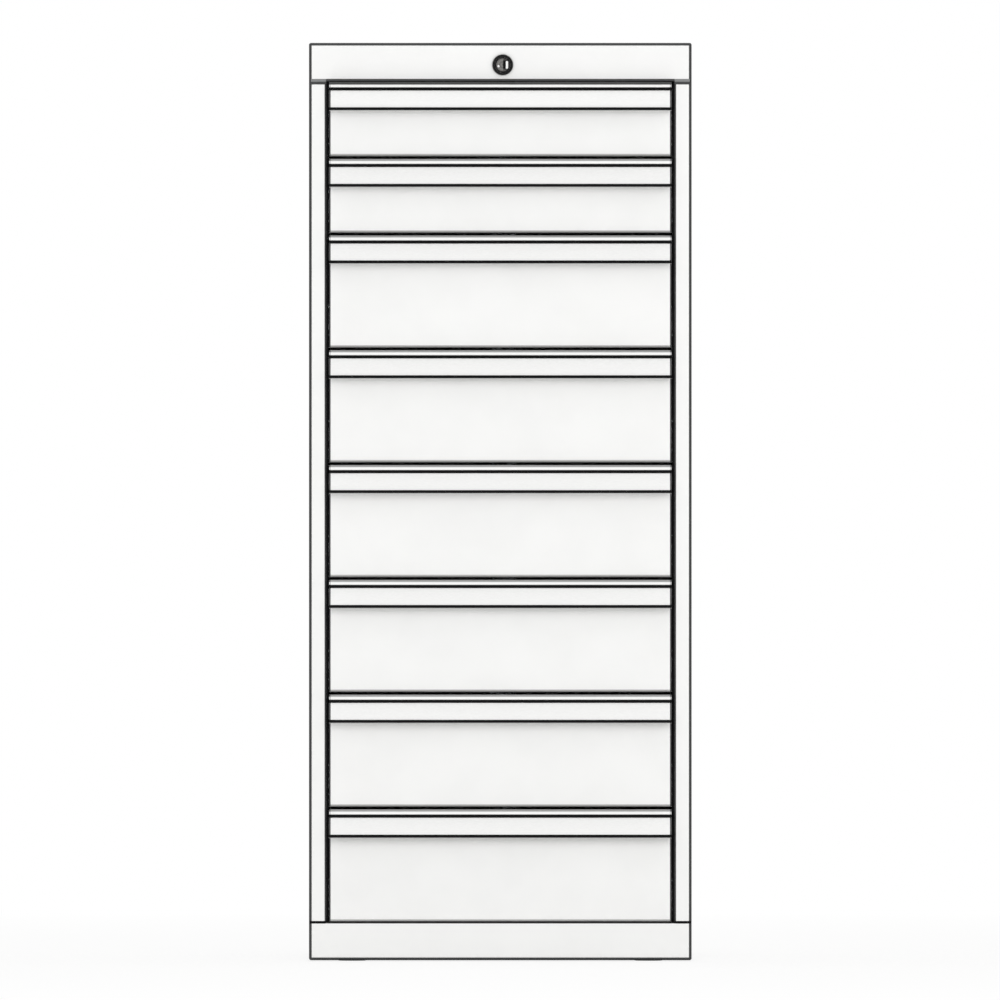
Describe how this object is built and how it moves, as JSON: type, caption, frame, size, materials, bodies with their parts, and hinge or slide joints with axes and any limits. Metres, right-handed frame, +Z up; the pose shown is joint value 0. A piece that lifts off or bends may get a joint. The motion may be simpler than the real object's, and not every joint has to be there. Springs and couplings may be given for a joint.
{
  "type": "microscope slide cabinet",
  "caption": "Tall narrow steel cabinet with a stack of shallow and deep drawers on telescopic runners, a full-width grip and label strip on each front, and a central lock.",
  "frame": {"origin": "on the floor, under the middle of the cabinet's outline with its drawers shut", "axes": "+X to the right seen from the front, +Y from the drawer fronts to the back, +Z up"},
  "size_m": [0.4, 0.5222, 0.96],
  "materials": {
    "cabinet_paint": "satin white powder coat",
    "front_paint": "satin white powder coat",
    "back_paint": "satin white powder coat",
    "tray_paint": "satin light grey powder coat",
    "divider_paint": "satin light grey powder coat",
    "grip_coating": "extruded, powder coated white",
    "runner_steel": "rolled, bright zinc plate",
    "zinc_steel": "bright zinc plate",
    "screw_steel": "bright zinc plate",
    "lock_nickel": "polished nickel plate",
    "plug_nickel": "turned, dull nickel plate",
    "guide_nylon": "moulded natural nylon",
    "foot_plastic": "moulded black nylon"
  },
  "bodies": {
    "carcass": {"left_side_panel": "cabinet_paint", "right_side_panel": "cabinet_paint", "top_cover": "cabinet_paint", "base_plinth": "cabinet_paint", "back_panel": "back_paint", "carcass_screws": "screw_steel", "runner_uprights": "zinc_steel", "cabinet_rails": "runner_steel", "levelling_feet": "foot_plastic", "lock_housing": "lock_nickel", "lock_guides": "guide_nylon"},
    "lock": {"lock_plug": "plug_nickel", "lock_rod": "zinc_steel"},
    "lock_bar": {"lock_bar": "zinc_steel"},
    "drawer_1": {"drawer_1_front": "front_paint", "drawer_1_box": "tray_paint", "drawer_1_grip": "grip_coating", "drawer_1_rails": "runner_steel"},
    "runner_1": {"runner_1": "runner_steel"},
    "drawer_2": {"drawer_2_front": "front_paint", "drawer_2_box": "tray_paint", "drawer_2_grip": "grip_coating", "drawer_2_rails": "runner_steel"},
    "runner_2": {"runner_2": "runner_steel"},
    "drawer_3": {"drawer_3_front": "front_paint", "drawer_3_box": "tray_paint", "drawer_3_grip": "grip_coating", "drawer_3_rails": "runner_steel", "drawer_3_dividers": "divider_paint"},
    "runner_3": {"runner_3": "runner_steel"},
    "drawer_4": {"drawer_4_front": "front_paint", "drawer_4_box": "tray_paint", "drawer_4_grip": "grip_coating", "drawer_4_rails": "runner_steel", "drawer_4_dividers": "divider_paint"},
    "runner_4": {"runner_4": "runner_steel"},
    "drawer_5": {"drawer_5_front": "front_paint", "drawer_5_box": "tray_paint", "drawer_5_grip": "grip_coating", "drawer_5_rails": "runner_steel", "drawer_5_dividers": "divider_paint"},
    "runner_5": {"runner_5": "runner_steel"},
    "drawer_6": {"drawer_6_front": "front_paint", "drawer_6_box": "tray_paint", "drawer_6_grip": "grip_coating", "drawer_6_rails": "runner_steel", "drawer_6_dividers": "divider_paint"},
    "runner_6": {"runner_6": "runner_steel"},
    "drawer_7": {"drawer_7_front": "front_paint", "drawer_7_box": "tray_paint", "drawer_7_grip": "grip_coating", "drawer_7_rails": "runner_steel", "drawer_7_dividers": "divider_paint"},
    "runner_7": {"runner_7": "runner_steel"},
    "drawer_8": {"drawer_8_front": "front_paint", "drawer_8_box": "tray_paint", "drawer_8_grip": "grip_coating", "drawer_8_rails": "runner_steel", "drawer_8_dividers": "divider_paint"},
    "runner_8": {"runner_8": "runner_steel"}
  },
  "joints": [
    {"name": "lock_turn", "type": "hinge", "parent": "carcass", "child": "lock", "pos_m": [0.0025, -0.2431, 0.937], "axis": [0, 1, 0], "range_deg": [0, 90]},
    {"name": "lock_bar_lift", "type": "slide", "parent": "carcass", "child": "lock_bar", "axis": [0, 0, 1], "range_m": [0, 0.0099]},
    {"name": "drawer_1_slide", "type": "slide", "parent": "carcass", "child": "drawer_1", "axis": [0, -1, 0], "range_m": [0, 0.42]},
    {"name": "runner_1_slide", "type": "slide", "parent": "carcass", "child": "runner_1", "axis": [0, -1, 0], "range_m": [0, 0.21]},
    {"name": "drawer_2_slide", "type": "slide", "parent": "carcass", "child": "drawer_2", "axis": [0, -1, 0], "range_m": [0, 0.42]},
    {"name": "runner_2_slide", "type": "slide", "parent": "carcass", "child": "runner_2", "axis": [0, -1, 0], "range_m": [0, 0.21]},
    {"name": "drawer_3_slide", "type": "slide", "parent": "carcass", "child": "drawer_3", "axis": [0, -1, 0], "range_m": [0, 0.42]},
    {"name": "runner_3_slide", "type": "slide", "parent": "carcass", "child": "runner_3", "axis": [0, -1, 0], "range_m": [0, 0.21]},
    {"name": "drawer_4_slide", "type": "slide", "parent": "carcass", "child": "drawer_4", "axis": [0, -1, 0], "range_m": [0, 0.42]},
    {"name": "runner_4_slide", "type": "slide", "parent": "carcass", "child": "runner_4", "axis": [0, -1, 0], "range_m": [0, 0.21]},
    {"name": "drawer_5_slide", "type": "slide", "parent": "carcass", "child": "drawer_5", "axis": [0, -1, 0], "range_m": [0, 0.42]},
    {"name": "runner_5_slide", "type": "slide", "parent": "carcass", "child": "runner_5", "axis": [0, -1, 0], "range_m": [0, 0.21]},
    {"name": "drawer_6_slide", "type": "slide", "parent": "carcass", "child": "drawer_6", "axis": [0, -1, 0], "range_m": [0, 0.42]},
    {"name": "runner_6_slide", "type": "slide", "parent": "carcass", "child": "runner_6", "axis": [0, -1, 0], "range_m": [0, 0.21]},
    {"name": "drawer_7_slide", "type": "slide", "parent": "carcass", "child": "drawer_7", "axis": [0, -1, 0], "range_m": [0, 0.42]},
    {"name": "runner_7_slide", "type": "slide", "parent": "carcass", "child": "runner_7", "axis": [0, -1, 0], "range_m": [0, 0.21]},
    {"name": "drawer_8_slide", "type": "slide", "parent": "carcass", "child": "drawer_8", "axis": [0, -1, 0], "range_m": [0, 0.42]},
    {"name": "runner_8_slide", "type": "slide", "parent": "carcass", "child": "runner_8", "axis": [0, -1, 0], "range_m": [0, 0.21]}
  ],
  "couplings": [
    {"joint": "lock_turn", "follows": "lock_bar_lift", "rad_per_m": 158.6},
    {"joint": "runner_1_slide", "follows": "drawer_1_slide", "ratio": 0.5},
    {"joint": "runner_2_slide", "follows": "drawer_2_slide", "ratio": 0.5},
    {"joint": "runner_3_slide", "follows": "drawer_3_slide", "ratio": 0.5},
    {"joint": "runner_4_slide", "follows": "drawer_4_slide", "ratio": 0.5},
    {"joint": "runner_5_slide", "follows": "drawer_5_slide", "ratio": 0.5},
    {"joint": "runner_6_slide", "follows": "drawer_6_slide", "ratio": 0.5},
    {"joint": "runner_7_slide", "follows": "drawer_7_slide", "ratio": 0.5},
    {"joint": "runner_8_slide", "follows": "drawer_8_slide", "ratio": 0.5}
  ]
}
